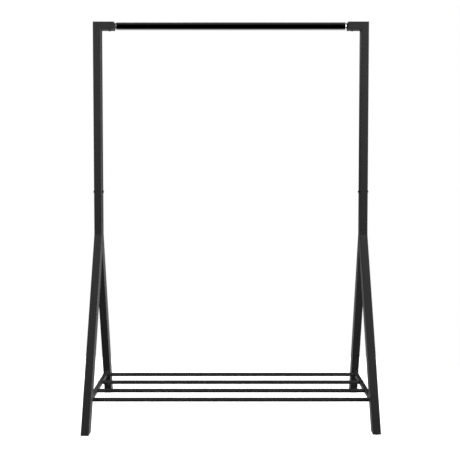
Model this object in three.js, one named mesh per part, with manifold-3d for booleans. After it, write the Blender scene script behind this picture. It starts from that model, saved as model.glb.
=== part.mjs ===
// Free-standing garment rail: two end frames of square tube, each a post that splits into two legs,
// joined by a plated hanging rod at the top and by a shelf of four round bars near the floor.
// Millimetres. +X is to the right, -Y to the front and +Z up; the origin is on the floor, midway
// between the feet.
import * as THREE from "three";
import { mergeVertices } from "three/addons/utils/BufferGeometryUtils.js";
import Module from "manifold-3d";

const wasm = await Module();
wasm.setup();

// Overall sizes
const HEIGHT = 1510;
const HALF_SPAN = 512; // middle of the object to the middle of a post
const GAP = 0.3; // clearance that every touching pair keeps

// Square tube of the end frames
const TUBE = 30;
const TUBE_WALL = 1.5;
const TUBE_CORNER = 2.5;
const TUBE_BORE = TUBE - 2 * TUBE_WALL;
const BORE_CORNER = TUBE_CORNER - TUBE_WALL;

// Heights on the end frames
const SEAM_Z = 845; // where the upper post stands on the stem
const BOLT_Z = 860;
const KINK_Z = 695; // where the stem splits into the legs
const SPIGOT_REACH = 60; // of the inner connector, each way from the seam
const SPIGOT_WALL = 2;

// Legs, from the kink to the floor
const LEG_RUN = 181.5; // forwards or backwards
const LEG_FLARE = 8; // outwards
const LEG_STEP = (TUBE / 2) * (Math.hypot(1, LEG_RUN / KINK_Z) - 1); // keeps the outer faces flush

// Leg ends
const PLUG_LIP = 3;
const PLUG_REACH = 28; // top of the plug's body above the floor
const LEVEL_END = 6.5; // the tube over the levelling foot ends this high
const LEVEL_LIP = 1.5;
const STUD_RADIUS = 4;
const STUD_FLANGE = 6;
const STUD_FLANGE_THICK = 1.2;
const STUD_LOW = 1.9;
const STUD_TOP = 28;
const PAD_RADIUS = 11.75;
const PAD_HEIGHT = 4.5;
const PAD_DOME = 3; // height of the curved edge
const PAD_SOLE = 6;
const NUT_RADIUS = 7.5;
const NUT_LOW = 10;
const NUT_HEIGHT = 6.5;

// Hanging rod and the stubs that hold it
const STUB_LENGTH = 80; // from the outer face of the post
const ROD_RADIUS = 14.5;
const ROD_WALL = 1.2;
const ROD_Z = HEIGHT - TUBE / 2;
const NECK_RADIUS = 9.5;
const NECK_SHOWN = 1.5; // of the neck outside the stub
const SHOULDER = 8; // length over which the rod narrows to its neck
const NECK_HELD = 40; // of the neck inside the stub
const STUB_END = HALF_SPAN + TUBE / 2 - STUB_LENGTH; // from the middle of the object
const BUSHING_LENGTH = 43;
const ROD_SCREW_INSET = 18; // from the end of the stub
const ROD_SCREW_X = STUB_END + ROD_SCREW_INSET;

// Shelf
const SHELF_Z = 97;
const RAIL = 15;
const RAIL_WALL = 1.2;
const RAIL_CORNER = 1.5;
const BAR_RADIUS = 7;
const BAR_WALL = 1.2;
const BAR_PITCH = 79;
const BAR_NAMES = ["front", "middle_front", "middle_rear", "rear"];
const INSERT_LENGTH = 20;

// Screws
const SHANK_RADIUS = 3;
const SCREW_HOLE = SHANK_RADIUS + GAP;
const SLEEVE_RADIUS = 4.5;
const SLEEVE_HOLE = SLEEVE_RADIUS + GAP;
const BUTTON_RADIUS = 5.25;
const BUTTON_CURVE = [[1, 0.35], [0.82, 0.8], [0.5, 1]]; // shares of a head's radius and height
const JOINT_HEAD = 4.6;
const JOINT_BOLT_LENGTH = 26;
const JOINT_NUT_LENGTH = 22;
const SLEEVE_FLOOR = 2; // under a sleeve nut's head
const BAR_HEAD = 3;
const BAR_SCREW_LENGTH = RAIL + INSERT_LENGTH - 4;
const ROD_HEAD_RADIUS = 4;
const ROD_HEAD = 3.7;
const ROD_SCREW_LENGTH = 14;
const RIVET_RADIUS = 5.3; // of the threaded insert's collar, inside the rod
const RIVET_LOW = 3.6;
const RIVET_HIGH = 5.2;
const RIVET_TOP = 11;
const HEX_RADIUS = 2.3;
const HEX_DEPTH = 2;

// Facets
const CORNER_STEPS = 1;
const LEAST_CORNER = 0.3;
const ROUND_STEPS = 24;
const SMALL_STEPS = 14;

const FAR = 3000; // larger than the object, for cutting tools
const X_AXIS = new THREE.Vector3(1, 0, 0);
const Y_AXIS = new THREE.Vector3(0, 1, 0);
const Z_AXIS = new THREE.Vector3(0, 0, 1);

const coat = new THREE.MeshStandardMaterial({ color: 0x323336, roughness: 0.5, metalness: 0.2 });
const plating = new THREE.MeshStandardMaterial({ color: 0x1b1c1e, roughness: 0.12, metalness: 1 });
const blackScrew = new THREE.MeshStandardMaterial({ color: 0x26272a, roughness: 0.4, metalness: 0.8 });
const zinc = new THREE.MeshStandardMaterial({ color: 0xa9adb2, roughness: 0.35, metalness: 1 });
const plastic = new THREE.MeshStandardMaterial({ color: 0x0d0d0e, roughness: 0.45, metalness: 0 });

// --- Solids -----------------------------------------------------------------------------------

// A closed geometry as a solid that can be joined and cut.
function solid(geometry) {
  const plain = geometry.clone();
  plain.deleteAttribute("normal");
  plain.deleteAttribute("uv");
  const merged = mergeVertices(plain, 1e-4);
  return new wasm.Manifold(
    new wasm.Mesh({
      numProp: 3,
      vertProperties: merged.attributes.position.array,
      triVerts: new Uint32Array(merged.index.array),
    }),
  );
}

// A solid as a geometry.
function geometryOf(body) {
  const { numProp, vertProperties, triVerts } = body.getMesh();
  const geometry = new THREE.BufferGeometry();
  geometry.setAttribute("position", new THREE.BufferAttribute(vertProperties, numProp));
  geometry.setIndex(new THREE.BufferAttribute(triVerts, 1));
  geometry.computeVertexNormals();
  return geometry;
}

// Moves a shape that runs along +Z from the origin, so that it runs from start along direction.
function along(geometry, start, direction) {
  const w = direction.clone().normalize();
  const guide = Math.abs(w.x) > 0.9 ? Y_AXIS : X_AXIS;
  const v = new THREE.Vector3().crossVectors(w, guide).normalize();
  const u = new THREE.Vector3().crossVectors(v, w);
  return geometry.applyMatrix4(new THREE.Matrix4().makeBasis(u, v, w).setPosition(start));
}

// All space on the side of a plane that its normal points to.
function halfSpace(point, normal) {
  const block = new THREE.BoxGeometry(2 * FAR, 2 * FAR, FAR).translate(0, 0, FAR / 2);
  return solid(along(block, point, normal));
}

// All space between two heights.
function slab(low, high) {
  const block = new THREE.BoxGeometry(2 * FAR, 2 * FAR, high - low);
  return solid(block.translate(0, 0, (low + high) / 2));
}

function rounded(outline, side, corner) {
  const inset = side / 2 - corner;
  const centres = [[inset, inset], [-inset, inset], [-inset, -inset], [inset, -inset]];
  centres.forEach(([x, y], turn) => {
    outline.absarc(x, y, corner, (turn * Math.PI) / 2, ((turn + 1) * Math.PI) / 2);
  });
  outline.closePath();
  return outline;
}

// A square bar along +Z, or a square tube when it has a wall.
function squareBar(side, corner, length, wall = 0) {
  const section = rounded(new THREE.Shape(), side, corner);
  const boreCorner = Math.max(corner - wall, LEAST_CORNER);
  if (wall > 0) section.holes.push(rounded(new THREE.Path(), side - 2 * wall, boreCorner));
  return new THREE.ExtrudeGeometry(section, {
    depth: length,
    bevelEnabled: false,
    curveSegments: CORNER_STEPS,
  });
}

// A shape turned about Z from a profile of [radius, height] points.
function turned(profile, steps) {
  const points = profile.map(([radius, height]) => new THREE.Vector2(radius, height));
  return new THREE.LatheGeometry(points, steps).rotateX(Math.PI / 2);
}

function roundTube(outer, inner, low, high, steps) {
  return turned([[inner, low], [outer, low], [outer, high], [inner, high], [inner, low]], steps);
}

function drill(radius, start, direction, length, steps = SMALL_STEPS) {
  const bit = turned([[0, 0], [radius, 0], [radius, length], [0, length]], steps);
  return solid(along(bit, start, direction));
}

// A domed head over z = 0 with a hex socket; the rest of the profile below it is the caller's.
function headed(radius, height, below) {
  const curve = BUTTON_CURVE.map(([across, up]) => [across * radius, up * height]);
  const profile = [...below, [radius, 0], ...curve, [0, height]];
  const socket = new THREE.CylinderGeometry(HEX_RADIUS, HEX_RADIUS, HEX_DEPTH * 2, 6);
  socket.rotateX(Math.PI / 2).translate(0, 0, height);
  return geometryOf(solid(turned(profile, SMALL_STEPS)).subtract(solid(socket)));
}

function screw(radius, height, length) {
  return headed(radius, height, [[0, -length], [SHANK_RADIUS, -length], [SHANK_RADIUS, 0]]);
}

// A screw's sleeve nut: the same head on a sleeve that the screw runs into.
function sleeveNut(radius, height, length) {
  return headed(radius, height, [
    [0, -SLEEVE_FLOOR],
    [SCREW_HOLE, -SLEEVE_FLOOR],
    [SCREW_HOLE, -length],
    [SLEEVE_RADIUS, -length],
    [SLEEVE_RADIUS, 0],
  ]);
}

function piece(parent, name, geometry, material) {
  const mesh = new THREE.Mesh(geometry, material);
  mesh.name = name;
  parent.add(mesh);
  return mesh;
}

// --- End frame, with its post on the Z axis and +X pointing out of the object --------------------

// Distance outwards of a leg's middle from the post's, at a height.
function flareAt(z) {
  return (LEG_FLARE * (KINK_Z - z)) / KINK_Z;
}

// Distance forwards or backwards of a leg's middle from the post's, at a height.
function runAt(z) {
  return (LEG_RUN * (KINK_Z - z)) / KINK_Z - LEG_STEP;
}

// A square bar or tube down a leg's line, longer than the leg at both ends; way is 1 or -1 along Y.
function legBar(way, side, corner, wall) {
  const spare = 60;
  const direction = new THREE.Vector3(LEG_FLARE, way * LEG_RUN, -KINK_Z);
  const length = direction.length() + 2 * spare;
  const start = new THREE.Vector3(0, -way * LEG_STEP, KINK_Z);
  start.addScaledVector(direction.clone().normalize(), -spare);
  return solid(along(squareBar(side, corner, length, wall), start, direction));
}

function leg(way, end) {
  const otherSide = halfSpace(new THREE.Vector3(0, (way * GAP) / 2, 0), new THREE.Vector3(0, -way, 0));
  return legBar(way, TUBE, TUBE_CORNER, TUBE_WALL)
    .intersect(slab(end, KINK_Z - GAP / 2))
    .subtract(otherSide);
}

// A moulded plug that closes a leg: a lip as wide as the tube and a body inside it.
function plug(way, low, lip) {
  const cap = legBar(way, TUBE, TUBE_CORNER).intersect(slab(low, low + lip));
  const body = legBar(way, TUBE_BORE - 2 * GAP, BORE_CORNER).intersect(slab(low, PLUG_REACH));
  return cap.add(body);
}

// Where the levelling foot's vertical axis stands, in the end frame's space.
function levelAxis(way) {
  return new THREE.Vector3(flareAt(LEVEL_END), way * runAt(LEVEL_END), 0);
}

function levelPlug(way) {
  const axis = levelAxis(way);
  const bore = drill(STUD_RADIUS + GAP, axis, Z_AXIS, PLUG_REACH + 1);
  const pocket = new THREE.CylinderGeometry(NUT_RADIUS + GAP, NUT_RADIUS + GAP, NUT_HEIGHT + 2 * GAP, 6);
  pocket.rotateX(Math.PI / 2).translate(axis.x, axis.y, NUT_LOW + NUT_HEIGHT / 2);
  const lipLow = LEVEL_END - GAP - LEVEL_LIP;
  return plug(way, lipLow, LEVEL_LIP).subtract(bore).subtract(solid(pocket));
}

function levelNut(axis) {
  const blank = new THREE.CylinderGeometry(NUT_RADIUS, NUT_RADIUS, NUT_HEIGHT, 6).rotateX(Math.PI / 2);
  blank.translate(axis.x, axis.y, NUT_LOW + NUT_HEIGHT / 2);
  return solid(blank).subtract(drill(STUD_RADIUS + GAP, axis, Z_AXIS, PLUG_REACH));
}

// The foot's sole with a shallow dome, and a socket that holds the stud's flange but lets it turn.
function levelPad() {
  const roof = STUD_LOW + STUD_FLANGE_THICK + GAP;
  const dome = [1, 2, 3].map((step) => {
    const angle = (step * Math.PI) / 6;
    const radius = PAD_SOLE + (PAD_RADIUS - PAD_SOLE) * Math.sin(angle);
    return [radius, PAD_DOME * (1 - Math.cos(angle))];
  });
  return turned(
    [
      [0, 0],
      [PAD_SOLE, 0],
      ...dome,
      [PAD_RADIUS, PAD_HEIGHT],
      [STUD_RADIUS + GAP, PAD_HEIGHT],
      [STUD_RADIUS + GAP, roof],
      [STUD_FLANGE + GAP, roof],
      [STUD_FLANGE + GAP, STUD_LOW - GAP],
      [0, STUD_LOW - GAP],
    ],
    ROUND_STEPS,
  );
}

function levelStud() {
  const flangeTop = STUD_LOW + STUD_FLANGE_THICK;
  return turned(
    [
      [0, STUD_LOW],
      [STUD_FLANGE, STUD_LOW],
      [STUD_FLANGE, flangeTop],
      [STUD_RADIUS, flangeTop],
      [STUD_RADIUS, STUD_TOP - 1],
      [STUD_RADIUS - 1, STUD_TOP],
      [0, STUD_TOP],
    ],
    ROUND_STEPS,
  );
}

// Holes through a post and its connector for the joint bolt: narrow outside, wide inside.
function boltHoles() {
  const wide = drill(SLEEVE_HOLE, new THREE.Vector3(-TUBE, 0, BOLT_Z), X_AXIS, TUBE);
  return wide.add(drill(SCREW_HOLE, new THREE.Vector3(-1, 0, BOLT_Z), X_AXIS, TUBE));
}

// The mitre between post and stub, from the outer top corner down to the inner one.
function mitre(way) {
  const normal = new THREE.Vector3(-way, 0, way).normalize();
  const corner = new THREE.Vector3(TUBE / 2, 0, HEIGHT);
  return halfSpace(corner.addScaledVector(normal, -GAP / 2), normal);
}

function upperPost() {
  const length = HEIGHT - SEAM_Z;
  const tube = squareBar(TUBE, TUBE_CORNER, length, TUBE_WALL).translate(0, 0, SEAM_Z + GAP / 2);
  return solid(tube).subtract(mitre(1)).subtract(boltHoles());
}

function rodStub() {
  const tube = squareBar(TUBE, TUBE_CORNER, STUB_LENGTH, TUBE_WALL);
  const start = new THREE.Vector3(TUBE / 2, 0, ROD_Z);
  const below = new THREE.Vector3(ROD_SCREW_X - HALF_SPAN, 0, ROD_Z - TUBE);
  const hole = drill(SCREW_HOLE, below, Z_AXIS, TUBE);
  return solid(along(tube, start, X_AXIS.clone().negate())).subtract(mitre(-1)).subtract(hole);
}

function spigot() {
  const side = TUBE_BORE - 2 * GAP;
  const tube = squareBar(side, BORE_CORNER, 2 * SPIGOT_REACH, SPIGOT_WALL);
  return solid(tube.translate(0, 0, SEAM_Z - SPIGOT_REACH)).subtract(boltHoles());
}

function stem() {
  const length = SEAM_Z - KINK_Z - GAP;
  return squareBar(TUBE, TUBE_CORNER, length, TUBE_WALL).translate(0, 0, KINK_Z + GAP / 2);
}

// The tie between a frame's two legs, cut to their slope, with a screw hole for each shelf bar.
function sideRail() {
  const reach = runAt(SHELF_Z);
  const start = new THREE.Vector3(flareAt(SHELF_Z), -reach, SHELF_Z);
  let rail = solid(along(squareBar(RAIL, RAIL_CORNER, 2 * reach, RAIL_WALL), start, Y_AXIS));
  for (const way of [-1, 1]) rail = rail.subtract(legBar(way, TUBE + 2 * GAP, TUBE_CORNER));
  for (const y of barPlaces()) {
    rail = rail.subtract(drill(SCREW_HOLE, new THREE.Vector3(-RAIL, y, SHELF_Z), X_AXIS, 3 * RAIL));
  }
  return rail;
}

function barPlaces() {
  return BAR_NAMES.map((name, index) => (index - (BAR_NAMES.length - 1) / 2) * BAR_PITCH);
}

function endFrame(side) {
  const name = side < 0 ? "left" : "right";
  const frame = new THREE.Group();
  frame.position.x = side * HALF_SPAN;
  frame.rotation.z = side < 0 ? Math.PI : 0;

  piece(frame, name + "_upper_post", geometryOf(upperPost()), coat);
  piece(frame, name + "_rod_stub", geometryOf(rodStub()), coat);
  piece(frame, name + "_joint_spigot", geometryOf(spigot()), zinc);
  piece(frame, name + "_stem", stem(), coat);
  piece(frame, name + "_side_rail", geometryOf(sideRail()), coat);

  const jointBolt = screw(BUTTON_RADIUS, JOINT_HEAD, JOINT_BOLT_LENGTH);
  const bolt = piece(frame, name + "_joint_bolt", jointBolt, blackScrew);
  bolt.position.set(TUBE / 2 + GAP, 0, BOLT_Z);
  bolt.rotation.y = Math.PI / 2;
  const jointNut = sleeveNut(BUTTON_RADIUS, JOINT_HEAD, JOINT_NUT_LENGTH);
  const nut = piece(frame, name + "_joint_nut", jointNut, blackScrew);
  nut.position.set(-TUBE / 2 - GAP, 0, BOLT_Z);
  nut.rotation.y = -Math.PI / 2;

  for (const [place, way] of [["front", -side], ["rear", side]]) {
    const corner = place + "_" + name;
    const levelled = corner === "front_right";
    const end = levelled ? LEVEL_END : PLUG_LIP + GAP;
    piece(frame, corner + "_leg", geometryOf(leg(way, end)), coat);
    if (levelled) levellingFoot(frame, corner, way);
    else piece(frame, corner + "_end_plug", geometryOf(plug(way, 0, PLUG_LIP)), plastic);
  }
  return frame;
}

function levellingFoot(frame, corner, way) {
  const axis = levelAxis(way);
  piece(frame, corner + "_level_plug", geometryOf(levelPlug(way)), plastic);
  piece(frame, corner + "_level_nut", geometryOf(levelNut(axis)), zinc);
  piece(frame, "level_stud", levelStud(), zinc).position.copy(axis);
  piece(frame, "level_pad", levelPad(), plastic).position.copy(axis);
}

// --- Hanging rod ----------------------------------------------------------------------------------

// Half the rod's own profile, as [radius, distance from the middle] from the end inwards. Its
// shoulder is a cone.
function rodOutline(inset) {
  return [
    [NECK_RADIUS - inset, STUB_END + NECK_HELD],
    [NECK_RADIUS - inset, STUB_END - NECK_SHOWN],
    [ROD_RADIUS - inset, STUB_END - NECK_SHOWN - SHOULDER],
  ];
}

function hangingRod() {
  const outside = rodOutline(0);
  const inside = rodOutline(ROD_WALL);
  const mirrored = (half) => half.map(([radius, x]) => [radius, -x]);
  const profile = [...mirrored(outside), ...outside.toReversed(), ...inside];
  profile.push(...mirrored(inside).toReversed(), profile[0]);
  let rod = solid(along(turned(profile, ROUND_STEPS), new THREE.Vector3(0, 0, ROD_Z), X_AXIS));
  for (const side of [-1, 1]) {
    const hole = new THREE.Vector3(side * ROD_SCREW_X, 0, ROD_Z - NECK_RADIUS - 1);
    rod = rod.subtract(drill(SLEEVE_HOLE, hole, Z_AXIS, NECK_RADIUS));
  }
  return rod;
}

// The moulded lining that centres the round neck in the square stub.
function rodBushing(side) {
  const start = new THREE.Vector3(side * STUB_END, 0, ROD_Z);
  const outward = new THREE.Vector3(side, 0, 0);
  const block = squareBar(TUBE_BORE - 2 * GAP, BORE_CORNER, BUSHING_LENGTH);
  const boreStart = start.clone().addScaledVector(outward, -1);
  const bore = drill(NECK_RADIUS + GAP, boreStart, outward, BUSHING_LENGTH + 2, ROUND_STEPS);
  const below = new THREE.Vector3(side * ROD_SCREW_X, 0, ROD_Z - TUBE);
  return solid(along(block, start, outward))
    .subtract(bore)
    .subtract(drill(SLEEVE_HOLE, below, Z_AXIS, TUBE));
}

// The threaded insert riveted into the neck; its collar spreads inside the tube.
function rodInsert() {
  return turned(
    [
      [SCREW_HOLE, 0],
      [SLEEVE_RADIUS, 0],
      [SLEEVE_RADIUS, RIVET_LOW],
      [RIVET_RADIUS, RIVET_LOW],
      [RIVET_RADIUS, RIVET_HIGH],
      [SLEEVE_RADIUS, RIVET_HIGH],
      [SLEEVE_RADIUS, RIVET_TOP],
      [SCREW_HOLE, RIVET_TOP],
      [SCREW_HOLE, 0],
    ],
    SMALL_STEPS,
  );
}

function rodAssembly() {
  const group = new THREE.Group();
  piece(group, "hanging_rod", geometryOf(hangingRod()), plating);
  for (const [name, side] of [["left", -1], ["right", 1]]) {
    const x = side * ROD_SCREW_X;
    piece(group, name + "_rod_bushing", geometryOf(rodBushing(side)), plastic);
    piece(group, name + "_rod_insert", rodInsert(), zinc).position.set(x, 0, ROD_Z - NECK_RADIUS);
    const rodScrew = screw(ROD_HEAD_RADIUS, ROD_HEAD, ROD_SCREW_LENGTH);
    const fixing = piece(group, name + "_rod_screw", rodScrew, blackScrew);
    fixing.position.set(x, 0, HEIGHT - TUBE - GAP);
    fixing.rotation.x = Math.PI;
  }
  return group;
}

// --- Shelf ----------------------------------------------------------------------------------------

function shelf() {
  const group = new THREE.Group();
  group.position.z = SHELF_Z;
  const railX = HALF_SPAN + flareAt(SHELF_Z);
  const barEnd = railX - RAIL / 2 - GAP;
  const insertRadius = BAR_RADIUS - BAR_WALL - GAP;
  barPlaces().forEach((y, index) => {
    const name = BAR_NAMES[index];
    const tube = roundTube(BAR_RADIUS, BAR_RADIUS - BAR_WALL, -barEnd, barEnd, ROUND_STEPS);
    const bar = piece(group, name + "_shelf_bar", tube, coat);
    bar.position.y = y;
    bar.rotation.y = Math.PI / 2;
    for (const [end, side] of [["left", -1], ["right", 1]]) {
      const turn = (side * Math.PI) / 2;
      const sleeve = roundTube(insertRadius, SCREW_HOLE, -INSERT_LENGTH, 0, SMALL_STEPS);
      const insert = piece(group, name + "_bar_" + end + "_insert", sleeve, zinc);
      insert.position.set(side * barEnd, y, 0);
      insert.rotation.y = turn;
      const barScrew = screw(BUTTON_RADIUS, BAR_HEAD, BAR_SCREW_LENGTH);
      const fixing = piece(group, name + "_bar_" + end + "_screw", barScrew, blackScrew);
      fixing.position.set(side * (railX + RAIL / 2 + GAP), y, 0);
      fixing.rotation.y = turn;
    }
  });
  return group;
}

const garmentRail = new THREE.Group();
garmentRail.add(endFrame(-1), endFrame(1), rodAssembly(), shelf());

export default garmentRail;
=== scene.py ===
import math

import bmesh
import bpy
from mathutils import Matrix, Vector


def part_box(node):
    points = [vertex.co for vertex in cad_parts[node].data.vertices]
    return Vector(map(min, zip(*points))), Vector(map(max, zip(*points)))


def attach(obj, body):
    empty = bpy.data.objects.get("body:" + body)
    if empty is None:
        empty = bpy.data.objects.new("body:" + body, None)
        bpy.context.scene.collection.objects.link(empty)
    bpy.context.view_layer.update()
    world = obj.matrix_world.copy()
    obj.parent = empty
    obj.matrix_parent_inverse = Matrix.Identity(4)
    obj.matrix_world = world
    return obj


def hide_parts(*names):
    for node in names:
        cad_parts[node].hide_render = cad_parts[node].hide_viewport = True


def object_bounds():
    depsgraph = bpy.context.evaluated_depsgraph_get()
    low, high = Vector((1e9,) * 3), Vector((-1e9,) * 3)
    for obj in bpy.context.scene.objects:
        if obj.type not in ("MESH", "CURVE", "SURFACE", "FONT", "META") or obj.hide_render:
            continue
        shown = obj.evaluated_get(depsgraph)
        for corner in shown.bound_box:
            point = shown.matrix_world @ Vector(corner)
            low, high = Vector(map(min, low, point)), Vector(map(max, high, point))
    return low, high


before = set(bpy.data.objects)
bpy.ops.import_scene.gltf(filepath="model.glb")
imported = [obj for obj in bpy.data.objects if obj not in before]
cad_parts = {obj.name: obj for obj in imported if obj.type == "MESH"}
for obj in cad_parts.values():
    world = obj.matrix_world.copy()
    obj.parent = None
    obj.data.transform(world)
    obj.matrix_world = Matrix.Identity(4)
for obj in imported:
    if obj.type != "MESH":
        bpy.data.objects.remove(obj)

# Garment rail: two end frames of powder-coated square tube, a black-chromed hanging rod and a shelf
# of four round bars. Metres, in the frame's own axes: +X right, -Y front, +Z up. Places and overall
# sizes come from the frame's boxes; the constants below are sizes of sections and of small details.

CAD_LOW, CAD_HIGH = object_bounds()
MM = 0.001
X_AXIS = Vector((1, 0, 0))
Y_AXIS = Vector((0, 1, 0))
Z_AXIS = Vector((0, 0, 1))

# Square tube
TUBE_WALL = 1.5 * MM
TUBE_CORNER = 2.5 * MM
RAIL_WALL = 1.2 * MM
RAIL_CORNER = 1.5 * MM
SPIGOT_WALL = 2 * MM
LEAST_CORNER = 0.3 * MM
EASED = 0.35 * MM  # break of a cut end's edge
CORNER_STEPS = 5
FLAT_STEPS = 9  # along a flat, where an outline meets a round bore
SLIVER = 0.001 * MM  # faces thinner than this are taken out round a drilled hole
FLAT_MARGIN = 0.8 * MM  # the flats keep a row of points this far from each edge

# Round parts
ROUND_STEPS = 72
SMALL_STEPS = 48  # a multiple of six, for the hex sockets
ROD_WALL = 1.2 * MM
NECK_RADIUS = 9.5 * MM
NECK_SHOWN = 1.5 * MM
SHOULDER = 8 * MM
SHOULDER_ROUNDING = 1.2 * MM
BAR_WALL = 1.2 * MM
BARS = ("front", "middle_front", "middle_rear", "rear")
WAYS = {"left": -1, "right": 1, "front": -1, "rear": 1}  # along X, and along Y

# Screws
SHANK_RADIUS = 3 * MM
SCREW_HOLE = 3.3 * MM
SLEEVE_RADIUS = 4.5 * MM
SLEEVE_HOLE = 4.8 * MM
SLEEVE_FLOOR = 2 * MM
RIVET_LOW = 3.6 * MM
RIVET_COLLAR = 1.6 * MM
HEX_RADIUS = 2.3 * MM
HEX_DEPTH = 2 * MM
HEX_CHAMFER = 0.25 * MM
DRILL_POINT = 0.4 * MM
HEAD_RIM = 0.16  # of the head's height
HEAD_CROWN = 0.52  # of its radius
SCREW_PITCH = 1 * MM
THREAD_DEPTH = 0.5 * MM
THREADED = 16 * MM
PLAIN_SHANK = 2 * MM
SCREW_TIP = 0.7 * MM
SCREW_FILLET = 0.2 * MM
SMALL_EDGE = 0.3 * MM
ROWS_PER_TURN = 6
THREAD_SLOPE = 2.4

# Levelling foot
STUD_RADIUS = 4 * MM
STUD_PITCH = 1.25 * MM
STUD_THREAD = 0.6 * MM
STUD_FLANGE = 1.2 * MM
PAD_LOBES = 18
PAD_BITE = 0.25 * MM
PLAY = 0.3 * MM

# Plugs
LIP_EDGE = 0.7 * MM
PLUG_WALL = 2 * MM
SOLE_RECESS = 0.8 * MM
SOLE_BORDER = 4 * MM
PLUG_RIBS = 3
RIB_RISE = 0.6 * MM

# Welds
SEAM_WIDTH = 1.6 * MM
SEAM_DEPTH = 0.5 * MM
SEAM_SUNK = 0.15 * MM
SEAM_STEP = 4 * MM
CORNER_SUNK = 0.6 * MM  # of the mitre's seam, under the outer corner
FILLET = 1.5 * MM
CROTCH_FILLET = 2.2 * MM
RIPPLE_PITCH = 1.7 * MM
RIPPLE = 0.12
WELD_START = 0.55  # an open weld's size at its ends, and what each step adds
WELD_GROWTH = 0.15

# Studio: sensor and lens in millimetres, places in metres, lamps in watts
SENSOR = 36
LENS = 41.64
CAMERA_SHIFT = (-0.002, -0.105)
CAMERA_PLACE = (0, -2.0586, 0.9604)
CAMERA_TILT = math.radians(1.72)
FRONT_POWER = 40
BACK_POWER = 16
FLOOR_DEPTH = 0.55  # of the floor's half width
WINDOW = 4.5
DIM_WALL = 0.42
CEILING = 0.09
SWEEP = 0.75
WHITE = (1, 1, 1, 1)


# --- Node trees ---

class Nodes:
    """Short calls for building a node tree."""

    def __init__(self, tree):
        self.nodes = tree.nodes
        self.links = tree.links

    def add(self, kind, output, inputs, **settings):
        """A new node's output; each input is a value or another node's output."""
        node = self.nodes.new(kind)
        for name, value in settings.items():
            setattr(node, name, value)
        for name, value in inputs.items():
            if isinstance(value, bpy.types.NodeSocket):
                self.links.new(value, node.inputs[name])
            else:
                node.inputs[name].default_value = value
        return node.outputs[output]

    def spread(self, source, low, high, out_low=0.0, out_high=1.0, kind="LINEAR"):
        """Maps low..high of a value to out_low..out_high, and holds it there."""
        limits = {"From Min": low, "From Max": high, "To Min": out_low, "To Max": out_high}
        inputs = {"Value": source, **limits}
        return self.add("ShaderNodeMapRange", "Result", inputs, interpolation_type=kind)

    def maths(self, operation, first, second=0.0):
        return self.add("ShaderNodeMath", "Value", {0: first, 1: second}, operation=operation)


class Surface(Nodes):
    """A material's node tree."""

    def __init__(self, name):
        self.material = bpy.data.materials.new(name)
        self.material.use_nodes = True
        super().__init__(self.material.node_tree)
        self.shader = self.nodes["Principled BSDF"]
        self.place = self.nodes.new("ShaderNodeTexCoord").outputs["Object"]

    def stretched(self, x, y, z):
        """The object's own coordinates, scaled along each axis."""
        inputs = {"Scale": (x, y, z), "Vector": self.place}
        return self.add("ShaderNodeMapping", "Vector", inputs)

    def noise(self, scale, detail=3.0, roughness=0.5, place=None):
        inputs = {"Scale": scale, "Detail": detail, "Roughness": roughness}
        inputs["Vector"] = place or self.place
        return self.add("ShaderNodeTexNoise", "Fac", inputs)

    def cells(self, scale):
        inputs = {"Scale": scale, "Vector": self.place}
        return self.add("ShaderNodeTexVoronoi", "Distance", inputs)

    def colours(self, share, first, second):
        """A blend of two colours; either may be a colour or another node's result."""
        ends = [(*end, 1.0) if isinstance(end, tuple) else end for end in (first, second)]
        inputs = {0: share, 6: ends[0], 7: ends[1]}
        return self.add("ShaderNodeMix", 2, inputs, data_type="RGBA")

    def worn(self, scale, start):
        """Patches where the finish has rubbed, along the convex edges that the meshes mark."""
        edge = self.add("ShaderNodeAttribute", "Fac", {}, attribute_name="edge")
        patches = self.spread(self.noise(scale, 4.0, 0.6), start, start + 0.2)
        return self.maths("MULTIPLY", edge, patches)

    def bump(self, height, distance, strength=1.0, below=None):
        inputs = {"Height": height, "Distance": distance, "Strength": strength}
        if below:
            inputs["Normal"] = below
        return self.add("ShaderNodeBump", "Normal", inputs)

    def finish(self, colour, roughness, normal, metallic=0.0, **constants):
        """Wires the shader; constants are set on its own sockets."""
        for name, output in (("Base Color", colour), ("Roughness", roughness), ("Normal", normal)):
            self.links.new(output, self.shader.inputs[name])
        self.shader.inputs["Metallic"].default_value = metallic
        for name, value in constants.items():
            self.shader.inputs[name.replace("_", " ")].default_value = value
        return self.material


def grey(value):
    return value, value, value


# --- Materials ---

def powder_coat():
    """Anthracite polyester powder: fine orange peel and grain, cloudy sheen, rubbed corners."""
    tree = Surface("powder_coat")
    clouds = tree.noise(9.0, 3.0)
    speckle = tree.noise(2600.0, 2.0)
    base = tree.colours(clouds, grey(0.0295), grey(0.0315))
    base = tree.colours(tree.spread(speckle, 0.62, 0.8), base, grey(0.036))
    rubbed = tree.worn(140.0, 0.5)
    base = tree.colours(rubbed, base, grey(0.07))
    roughness = tree.spread(clouds, 0.3, 0.7, 0.41, 0.47)
    roughness = tree.maths("SUBTRACT", roughness, tree.maths("MULTIPLY", rubbed, 0.12))
    peel = tree.bump(tree.noise(520.0, 2.5), 0.06 * MM, 0.5)
    grain = tree.bump(tree.cells(3800.0), 0.02 * MM, 0.5, below=peel)
    return tree.finish(base, roughness, grain, IOR=1.5, Specular_IOR_Level=0.3)


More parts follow.
